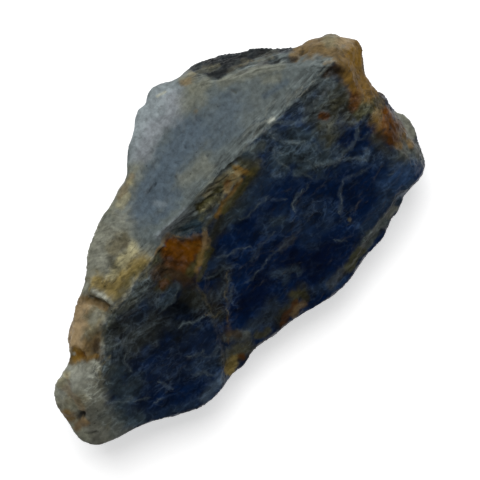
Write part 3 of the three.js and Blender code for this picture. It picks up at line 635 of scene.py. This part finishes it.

# Healed cracks and streaks, with a few painted highlights and painted shadow lines, drawn finer than the mesh.
# Each is a finish, a path, a half width and a strength.
VEINS_AND_PAINTED_LIGHT = [
    # The right part of the blue face.
    ("vein", [(9.8, 1.9), (10.1, 1.2), (10.15, 0.6), (10.25, 0.0), (10.3, -0.5), (10.7, -1.0), (11.2, -1.5)],
     0.08, 0.8),
    ("vein", [(10.2, 0.1), (10.5, 0.4), (10.45, 0.8), (10.2, 1.0)], 0.06, 0.5),
    ("vein", [(11.2, 1.2), (11.7, 0.7), (12.2, 0.1), (12.6, -0.3), (13.2, -0.5)], 0.07, 0.7),
    ("vein", [(9.6, 0.1), (9.3, -0.4), (9.4, -0.9)], 0.05, 0.5),
    ("vein", [(9.4, 0.1), (8.9, -0.1), (8.6, -0.9), (8.6, -1.9)], 0.06, 0.6),
    ("vein", [(8.5, -2.7), (9.0, -3.3), (9.1, -3.9)], 0.06, 0.4),
    ("vein", [(10.4, -3.7), (11.0, -4.4), (11.6, -4.95), (12.6, -5.0), (13.6, -5.2), (14.1, -5.25),
              (14.9, -4.8)], 0.10, 0.85),
    ("vein", [(11.2, -5.1), (12.1, -5.3)], 0.07, 0.5),
    ("vein", [(12.3, -5.6), (12.9, -6.1), (13.2, -6.9)], 0.06, 0.6),
    ("vein", [(14.1, -5.25), (14.7, -5.7), (15.2, -5.6)], 0.06, 0.4),
    ("vein", [(8.2, -7.8), (9.0, -7.2), (9.9, -6.5)], 0.08, 0.55),
    ("vein", [(9.9, -6.5), (10.6, -6.4), (11.5, -6.8), (12.4, -7.3)], 0.06, 0.35),
    ("vein", [(6.0, -4.45), (6.4, -4.15), (7.0, -4.05), (7.7, -3.95)], 0.06, 0.6),
    ("vein", [(8.0, -4.2), (8.4, -4.0)], 0.05, 0.4),
    ("vein", [(2.6, -1.1), (3.2, -1.5), (4.4, -1.6), (5.6, -1.9)], 0.06, 0.4),
    ("vein", [(5.6, -2.3), (6.3, -3.3)], 0.05, 0.3),
    ("vein", [(6.1, -8.9), (6.5, -9.7)], 0.05, 0.4),
    ("vein", [(13.3, -9.4), (14.4, -9.7), (15.2, -10.0)], 0.07, 0.4),
    ("vein", [(11.0, -2.0), (11.6, -2.6), (11.4, -3.4)], 0.05, 0.5),
    ("vein", [(9.6, -2.4), (10.2, -3.0), (10.0, -3.8)], 0.05, 0.4),
    ("vein", [(15.9, 0.0), (16.3, -0.6), (17.0, -0.9)], 0.06, 0.6),
    ("vein", [(16.5, 0.1), (16.8, -0.5)], 0.05, 0.5),
    ("vein", [(14.8, -3.6), (15.4, -4.2), (15.0, -4.8)], 0.06, 0.5),
    # The middle, below the bite and the scarp.
    ("vein", [(-1.5, -4.8), (-1.0, -5.0), (0.3, -5.1), (1.0, -5.1), (2.3, -5.3), (3.0, -5.5)], 0.05, 0.45),
    ("beige", [(-1.8, -3.0), (-2.7, -3.5), (-3.3, -3.9), (-3.9, -4.5), (-4.6, -5.0)], 0.05, 0.6),
    ("tan", [(-4.6, -5.0), (-5.2, -5.5), (-6.0, -6.1), (-6.6, -6.6)], 0.06, 0.7),
    ("beige", [(-4.3, -1.5), (-4.6, -2.4), (-5.0, -3.2), (-5.3, -3.7)], 0.06, 0.6),
    ("beige", [(-5.9, -3.5), (-5.5, -4.4), (-4.9, -4.5)], 0.05, 0.6),
    ("vein", [(-3.6, -4.8), (-3.2, -4.3), (-2.6, -4.0)], 0.05, 0.5),
    ("vein", [(-4.3, -3.6), (-3.0, -3.6), (-2.2, -3.4)], 0.05, 0.5),
    ("vein", [(-3.4, -1.7), (-2.6, -2.3), (-1.6, -2.5), (-0.9, -3.2)], 0.05, 0.45),
    ("vein", [(-1.2, -1.5), (-0.4, -2.2), (0.4, -2.5), (1.2, -3.3)], 0.05, 0.45),
    ("vein", [(0.2, -3.9), (1.2, -4.1), (2.4, -3.9), (3.4, -4.3)], 0.05, 0.35),
    ("vein", [(-8.1, -2.3), (-7.6, -2.4), (-7.1, -3.1), (-6.3, -3.5)], 0.05, 0.7),
    # The left block.
    ("vein", [(-9.7, -4.5), (-9.2, -5.0), (-8.6, -5.3)], 0.05, 0.5),
    ("vein", [(-13.6, -1.1), (-13.2, -0.2), (-12.9, 0.0)], 0.06, 0.5),
    ("vein", [(-12.5, -0.1), (-11.9, 0.1)], 0.05, 0.4),
    ("beige", [(-16.7, 0.5), (-15.9, 0.5), (-15.3, 0.8), (-15.3, 1.2), (-14.5, 1.3), (-13.8, 1.2)], 0.06, 0.8),
    ("beige", [(-16.8, 1.4), (-16.0, 1.0), (-15.8, 0.4), (-16.4, 0.0)], 0.05, 0.5),
    ("vein", [(-12.7, 1.3), (-12.2, 1.0)], 0.06, 0.5),
    ("vein", [(-16.9, -1.4), (-16.0, -2.4), (-15.4, -2.6)], 0.06, 0.5),
    ("vein", [(-15.5, -3.0), (-14.8, -3.8)], 0.06, 0.5),
    ("vein", [(-12.9, -3.8), (-12.8, -4.7)], 0.06, 0.5),
    ("vein", [(-14.6, -4.6), (-14.1, -4.8)], 0.05, 0.5),
    ("vein", [(-10.6, -5.9), (-10.0, -6.4), (-9.9, -7.1), (-9.2, -7.5)], 0.05, 0.5),
    ("vein", [(-8.9, -5.6), (-8.2, -6.2), (-7.4, -6.0)], 0.05, 0.5),
    ("beige", [(-19.1, -2.5), (-18.2, -2.3)], 0.06, 0.5),
    ("beige", [(-13.0, 2.1), (-12.4, 2.6), (-11.7, 2.8)], 0.06, 0.5),
    ("beige", [(-12.3, 3.9), (-11.6, 3.5), (-10.9, 3.3), (-10.0, 3.1)], 0.08, 0.7),
    ("vein", [(-8.0, 3.05), (-6.9, 2.55), (-6.2, 2.3)], 0.08, 0.7),
    ("vein", [(-8.3, 2.5), (-7.2, 2.05), (-6.3, 1.9)], 0.06, 0.6),
    ("vein", [(-8.8, 1.8), (-7.6, 1.55), (-6.9, 1.2), (-6.6, 0.8)], 0.06, 0.6),
    ("beige", [(-6.3, 2.6), (-5.8, 2.85), (-5.0, 2.65)], 0.08, 0.7),
    ("vein", [(-7.8, -0.3), (-6.5, -0.7), (-5.4, -0.4), (-5.1, 0.1)], 0.05, 0.5),
    ("cream", [(-8.2, 4.9), (-6.9, 4.6), (-5.6, 4.7), (-4.9, 4.4)], 0.07, 0.5),
    ("cream", [(-7.4, 4.3), (-6.2, 4.15), (-5.2, 3.9)], 0.06, 0.4),
    ("umber", [(-10.95, 5.0), (-10.6, 4.5), (-10.4, 3.9)], 0.05, 0.6),
    ("umber", [(-10.35, 5.6), (-10.25, 4.8)], 0.05, 0.6),
    ("umber", [(-5.1, 6.7), (-5.0, 6.1)], 0.06, 0.7),
    ("umber", [(-4.8, 5.9), (-4.6, 5.6)], 0.06, 0.7),
    ("umber", [(-20.3, -1.5), (-19.8, -1.9)], 0.06, 0.8),
    # The bite.
    ("rim", [(-2.1, 2.95), (-1.75, 2.1), (-1.35, 1.45), (-0.8, 1.05), (-0.1, 0.8)], 0.07, 0.9),
    ("rim", [(-0.1, 0.5), (-0.5, -0.05), (-1.0, -0.3), (-1.6, -0.15)], 0.06, 0.8),
    ("rim", [(-1.9, -0.7), (-2.5, -0.4), (-3.4, -0.8), (-3.9, -1.2)], 0.05, 0.5),
    # Painted shadow: a dark line at the bite's left edge, along a shallow cut.
    ("umber", [(-4.1, 2.0), (-3.85, 1.4), (-3.7, 0.9)], 0.07, 0.7),
    ("ochre", [(-1.9, 1.3), (-1.7, 0.7), (-1.2, 0.4)], 0.05, 0.6),
    # The scarp.
    # Painted shadow: dark lines under the grey face's edge, along shallow cuts.
    ("umber", [(1.1, 2.5), (2.3, 2.15), (3.6, 1.95)], 0.06, 0.6),
    ("umber", [(3.0, 2.75), (4.4, 2.5), (5.8, 2.15)], 0.06, 0.5),
    ("cream", [(1.3, 2.05), (2.3, 1.75), (3.0, 1.5)], 0.06, 0.7),
    ("cream", [(2.8, 1.15), (3.6, 1.35), (4.0, 1.1), (4.7, 1.15)], 0.05, 0.6),
    ("cream", [(4.9, 1.1), (5.2, 1.5), (4.9, 1.8)], 0.06, 0.6),
    ("cream", [(5.3, 1.9), (5.8, 1.6), (5.7, 1.2), (5.3, 1.0)], 0.07, 0.8),
    ("crest pale", [(0.3, 1.2), (2.0, 1.12), (2.7, 1.1)], 0.07, 0.8),
    ("crest pale", [(-1.3, 2.75), (0.0, 2.25), (1.3, 1.7)], 0.07, 0.6),
    ("crest pale", [(-1.5, 2.2), (-0.6, 1.7)], 0.06, 0.5),
    # The crest and the grey face. The white streaks are partly the stone's pale veins and partly painted
    # highlight along the crest's ridges.
    ("stone white", [(7.8, 2.2), (8.8, 2.3), (9.6, 2.1), (10.1, 1.6)], 0.07, 0.5),
    ("stone white", [(8.5, 2.9), (9.6, 2.75), (10.3, 2.3), (10.8, 1.9)], 0.07, 0.5),
    ("crest dark", [(10.1, 2.75), (10.9, 2.2)], 0.08, 0.6),
    ("stone white", [(11.3, 2.3), (11.8, 2.6), (12.5, 2.5)], 0.06, 0.4),
    ("stone white", [(13.1, 1.5), (13.6, 1.75), (14.2, 1.4), (15.0, 1.35)], 0.07, 0.6),
    ("stone white", [(14.2, 1.0), (15.2, 0.85), (16.2, 0.65)], 0.06, 0.5),
    ("stone white", [(16.8, 0.75), (17.4, 0.65), (18.0, 0.45)], 0.07, 0.7),
    ("stone white", [(18.0, 1.1), (18.4, 0.9), (18.7, 0.4)], 0.06, 0.5),
    ("crest dark", [(12.4, 3.3), (13.9, 3.1)], 0.06, 0.5),
    ("crest dark", [(15.0, 1.1), (16.4, 0.95), (17.6, 0.9)], 0.06, 0.5),
    ("stone white", [(-1.6, 3.6), (-0.4, 3.1), (0.9, 2.9)], 0.06, 0.4),
    # The dark face.
    ("black", [(11.2, 7.95), (11.6, 7.5), (12.0, 7.3)], 0.13, 0.8),
    ("black", [(12.0, 9.05), (12.6, 8.7)], 0.13, 0.8),
    ("black", [(12.9, 7.95), (13.3, 7.45), (13.9, 6.95)], 0.12, 0.8),
    ("black", [(14.4, 6.5), (14.75, 6.1)], 0.13, 0.7),
    ("black", [(15.2, 4.8), (15.7, 4.4)], 0.14, 0.6),
    ("black", [(10.8, 9.1), (11.3, 8.5)], 0.1, 0.5),
    ("black", [(11.9, 8.1), (12.5, 7.5)], 0.1, 0.6),
    ("beige", [(11.4, 9.2), (12.2, 8.35)], 0.07, 0.8),
    ("grey cream", [(11.2, 7.6), (12.0, 6.9), (12.9, 6.3), (13.9, 5.5), (14.9, 4.7)], 0.09, 0.7),
    ("beige", [(12.4, 7.1), (13.4, 6.7), (14.2, 6.3)], 0.07, 0.7),
    ("mottle", [(13.4, 8.2), (14.3, 7.2)], 0.06, 0.6),
    ("beige", [(13.9, 6.7), (14.9, 5.5), (15.6, 4.9)], 0.07, 0.7),
    ("umber", [(16.3, 3.5), (16.6, 3.2)], 0.16, 0.9),
    ("umber", [(17.4, 3.1), (17.9, 2.85)], 0.16, 0.9),
    ("rust", [(14.3, 5.55), (14.9, 5.0)], 0.06, 0.7),
]
FAR_OFF = 9.0
WANDER = 0.16
vein = np.full(len(place), FAR_OFF)
gap = np.full(len(place), FAR_OFF)
drawn = np.zeros(len(place))
streak = np.zeros((len(place), 3))
for name, path, width, strength in VEINS_AND_PAINTED_LIGHT:
    distance, side = beside(seen + WANDER * tatter + WANDER * stray, path)
    closer = distance < gap
    gap[closer] = distance[closer]
    vein[closer] = (distance * side / width)[closer]
    drawn[closer] = (strength * up * soft(distance, 0.32, 0.15))[closer]
    streak[closer] = finish(name)[:3]

for name, values in [("roughness", paint[:, 3]), ("web", paint[:, 4]), ("combing", combing), ("calm", calm),
                     ("vein", vein), ("drawn", drawn)]:
    stone.data.attributes.new(name, "FLOAT", "POINT").data.foreach_set("value", values.astype(np.float32))
strokes = grain.astype(np.float32).ravel()
stone.data.attributes.new("grain", "FLOAT_VECTOR", "POINT").data.foreach_set("vector", strokes)
for name, values in [("tint", paint[:, :3]), ("streak", streak)]:
    opaque = np.c_[values, np.ones(len(values))].astype(np.float32)
    stone.data.color_attributes.new(name, "FLOAT_COLOR", "POINT").data.foreach_set("color", opaque.ravel())


class Wire:
    """A socket inside a material. Arithmetic on wires adds the Math nodes that do it."""

    def __init__(self, tree, socket=None):
        self.tree = tree
        self.socket = socket

    def node(self, kind, settings, inputs, output=0):
        """Adds a node of a kind, with its settings and the values or wires of its sockets."""
        made = self.tree.nodes.new(kind)
        for key, value in settings.items():
            setattr(made, key, value)
        for key, value in inputs.items():
            if isinstance(value, Wire):
                self.tree.links.new(value.socket, made.inputs[key])
            else:
                made.inputs[key].default_value = value
        return Wire(self.tree, made.outputs[output] if made.outputs else None)

    def maths(self, operation, *values):
        return self.node("ShaderNodeMath", {"operation": operation}, dict(enumerate(values)))

    def __add__(self, other):
        return self.maths("ADD", self, other)

    def __radd__(self, other):
        return self.maths("ADD", other, self)

    def __sub__(self, other):
        return self.maths("SUBTRACT", self, other)

    def __rsub__(self, other):
        return self.maths("SUBTRACT", other, self)

    def __mul__(self, other):
        return self.maths("MULTIPLY", self, other)

    def __rmul__(self, other):
        return self.maths("MULTIPLY", other, self)

    def __pow__(self, other):
        return self.maths("POWER", self, other)

    def __abs__(self):
        return self.maths("ABSOLUTE", self)

    def over(self, other):
        """The larger of two values."""
        return self.maths("MAXIMUM", self, other)

    def between(self, start, end):
        """0 at start, 1 at end, with a smooth change between."""
        return self.node("ShaderNodeMapRange", {"interpolation_type": "SMOOTHSTEP"},
                         {"Value": self, "From Min": start, "From Max": end})

    def scaled(self, factor):
        """A colour or vector times a number."""
        return self.node("ShaderNodeVectorMath", {"operation": "SCALE"}, {0: self, "Scale": factor})

    def lit(self, factor, glow, share):
        """A colour with a share of a brighter one mixed in: itself times a factor, and a grey glow added."""
        brighter = self.node("ShaderNodeVectorMath", {"operation": "ADD"}, {0: self.scaled(factor), 1: glow})
        return self.node("ShaderNodeMix", {"data_type": "RGBA"}, {0: share, 6: self, 7: brighter}, 2)

    def tinted(self, other, share):
        """A colour with a share of another mixed in."""
        return self.node("ShaderNodeMix", {"data_type": "RGBA"}, {0: share, 6: self, 7: other}, 2)


crystal = bpy.data.materials.new("weathered corundum")
crystal.use_nodes = True
crystal.node_tree.nodes.clear()
nodes = Wire(crystal.node_tree)


def painted(name, output=2):
    """A value painted on the mesh: output 0 is a colour, 1 a vector and 2 a number."""
    return nodes.node("ShaderNodeAttribute", {"attribute_name": name}, {}, output)


def clouds(at, scale, detail, roughness=0.6, distortion=0.0):
    """Blender's noise, about 0.3 to 0.7. The scale is in swells for each mm."""
    return nodes.node("ShaderNodeTexNoise", {}, {
        "Vector": at, "Scale": scale, "Detail": detail, "Roughness": roughness, "Distortion": distortion})


def swirl(at, scale, amount):
    """The places, each pushed aside by up to half an amount in mm, so that a pattern on them meanders."""
    push = nodes.node("ShaderNodeTexNoise", {}, {"Vector": at, "Scale": scale, "Detail": 3}, 1)
    push = nodes.node("ShaderNodeVectorMath", {"operation": "SUBTRACT"}, {0: push, 1: (0.5, 0.5, 0.5)})
    return nodes.node("ShaderNodeVectorMath", {"operation": "ADD"}, {0: at, 1: push.scaled(amount)})


spot = nodes.node("ShaderNodeTexCoord", {}, {}, 3).scaled(1 / MM)
flow = nodes.node("ShaderNodeMapping", {"vector_type": "TEXTURE"}, {
    "Vector": spot, "Rotation": (0, 0, math.radians(FLOW)), "Scale": (1.6, 1, 1)})
fine = clouds(flow, 1.3, 4, 0.55, 0.5)
dapple = clouds(spot, 2.0, 4, 0.6, 0.3)
grit = clouds(spot, 5.0, 3)
strand = clouds(painted("grain", 1), 1.2, 5, 0.6, 0.3)
combed = painted("combing")
web = painted("web")
calm = painted("calm")

# The web of healed cracks: hairlines along the middle values of a swirling noise, and the smoky edges of cells.
meander = swirl(flow, 2.2, 0.6)
hairs = abs(clouds(meander, 0.6, 2, 0.5, 0.6) - 0.5)
threads = abs(clouds(meander, 1.3, 2, 0.5, 0.6) - 0.48).between(0.050, 0.005)
seams = nodes.node("ShaderNodeTexVoronoi", {"feature": "DISTANCE_TO_EDGE"}, {
    "Vector": swirl(swirl(flow, 2.2, 0.5), 0.6, 2.2), "Scale": 0.9})
here = clouds(flow, 0.7, 4).between(0.44, 0.58)
there = clouds(spot, 0.8, 3).between(0.42, 0.56)
lines = hairs.between(0.040, 0.005).over(0.7 * threads).over(0.2 * hairs.between(0.12, 0))
smoky = 0.7 * there * seams.between(0.10, 0.01) + 0.15 * there * seams.between(0.35, 0.05)
net = web * (0.9 * here * lines + smoky)
pockets = clouds(flow, 0.55, 5, 0.6, 0.5).between(0.47, 0.36)

# The drawn cracks, painted highlights and painted shadow lines break up along their way, and a faint halo lies
# round them.
off_line = abs(painted("vein") + 3.0 * (fine - 0.5) + 5.0 * (dapple - 0.5) + 2.5 * (grit - 0.5))
along = clouds(spot, 1.3, 3).between(0.38, 0.62)
cracks_and_painted_light = (0.75 * off_line.between(1.7, 0.3) * along).over(0.25 * off_line.between(4.5, 1)) * painted("drawn")

# Long fine scratches and small pits.
along_scratch = nodes.node("ShaderNodeMapping", {"vector_type": "TEXTURE"}, {
    "Vector": swirl(spot, 0.5, 0.8), "Rotation": (0, 0, math.radians(-12)), "Scale": (7, 1, 1)})
scratches = abs(clouds(along_scratch, 1.1, 2) - 0.5).between(0.030, 0.004)
scratches = scratches * clouds(spot, 0.5, 3).between(0.46, 0.60)
cells = nodes.node("ShaderNodeTexVoronoi", {}, {"Vector": swirl(spot, 3.0, 0.4), "Scale": 1.3})
pits = cells.between(0.13, 0.06) * clouds(spot, 0.45, 2).between(0.48, 0.60)

strands = combed * strand.between(0.52, 0.66)
gaps = combed * strand.between(0.49, 0.38)
mottled = (2.0 * fine) ** ((0.6 + 1.1 * web) * (1.0 - 0.7 * calm)) * (2.0 * dapple) ** (0.3 + 0.5 * calm)
shade = mottled * (1.0 - 0.6 * gaps) * (1.0 - (0.35 - 0.3 * calm) * pockets)
shade = shade * (1.0 - (0.22 - 0.12 * calm) * scratches) * (1.0 - 0.6 * pits)
body = painted("tint", 0).scaled(shade)
body = body.lit(1.5, (0.020, 0.022, 0.018), 0.8 * strands)
body = body.lit(2.0, (0.026, 0.036, 0.044), 0.9 * net)
body = body.tinted(painted("streak", 0).scaled(0.6 + 0.8 * fine), cracks_and_painted_light)
relief = (0.5 - 0.3 * calm) * fine + 0.25 * grit + 0.9 * combed * strand + 0.3 * net + 0.25 * cracks_and_painted_light
bumps = nodes.node("ShaderNodeBump", {}, {"Strength": 0.6, "Distance": 0.1 * MM, "Height": relief})
shader = nodes.node("ShaderNodeBsdfPrincipled", {}, {
    "Base Color": body, "Roughness": painted("roughness") + 0.3 * (fine - 0.5), "Specular IOR Level": 0.1,
    "IOR": 1.5, "Normal": bumps})
nodes.node("ShaderNodeOutputMaterial", {}, {"Surface": shader})
stone.data.materials.append(crystal)
bpy.ops.object.shade_smooth()
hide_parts("sapphire")
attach(stone, "root")

# The floor: a plain pale sheet of paper on a light table, much larger than the view.
SHEET_SIZE = 3.0
PAPER_WHITE = 0.85
PAPER_GLOW = 0.55
bpy.ops.object.select_all(action="DESELECT")
bpy.ops.mesh.primitive_plane_add(size=SHEET_SIZE)
floor = bpy.context.object
floor.name = "floor"
paper = bpy.data.materials.new("paper")
paper.use_nodes = True
sheet = paper.node_tree.nodes["Principled BSDF"].inputs
sheet["Base Color"].default_value = (PAPER_WHITE, PAPER_WHITE, PAPER_WHITE, 1)
sheet["Roughness"].default_value = 0.9
sheet["Specular IOR Level"].default_value = 0.0
sheet["Emission Color"].default_value = (1, 1, 1, 1)
sheet["Emission Strength"].default_value = PAPER_GLOW
floor.data.materials.append(paper)

# The light: one large soft lamp high on the side of the grey face, and a dim room.
LAMP_AT = (0.17, 0.20, 0.43)
LAMP_SIZE = 0.4
LAMP_POWER = 2.4
ROOM_LIGHT = 0.15
lamp = bpy.data.lights.new("lamp", "AREA")
lamp.size = LAMP_SIZE
lamp.energy = LAMP_POWER
holder = bpy.data.objects.new("lamp", lamp)
holder.location = LAMP_AT
holder.rotation_euler = (-Vector(LAMP_AT)).to_track_quat("-Z", "Y").to_euler()
bpy.context.scene.collection.objects.link(holder)
room = bpy.data.worlds.new("room")
room.use_nodes = True
room.node_tree.nodes["Background"].inputs["Color"].default_value = (1, 1, 1, 1)
room.node_tree.nodes["Background"].inputs["Strength"].default_value = ROOM_LIGHT
bpy.context.scene.world = room
bpy.context.scene.view_settings.view_transform = "Standard"

# The camera looks straight down, with the stone's long axis turned 54 degrees up from the picture's right.
VIEW_WIDTH = 41.74
STONE_TURN = 54.0
SENSOR = 36.0
camera = bpy.data.objects.new("camera", bpy.data.cameras.new("camera"))
camera.data.sensor_width = SENSOR
camera.data.lens = SENSOR * VIEW_DISTANCE / VIEW_WIDTH
camera.data.clip_start = 0.01
camera.location = (Vector(VIEW_CENTRE) + Vector((0, 0, VIEW_DISTANCE))) * MM
camera.rotation_euler = (0, 0, math.radians(-STONE_TURN))
bpy.context.scene.collection.objects.link(camera)
bpy.context.scene.camera = camera
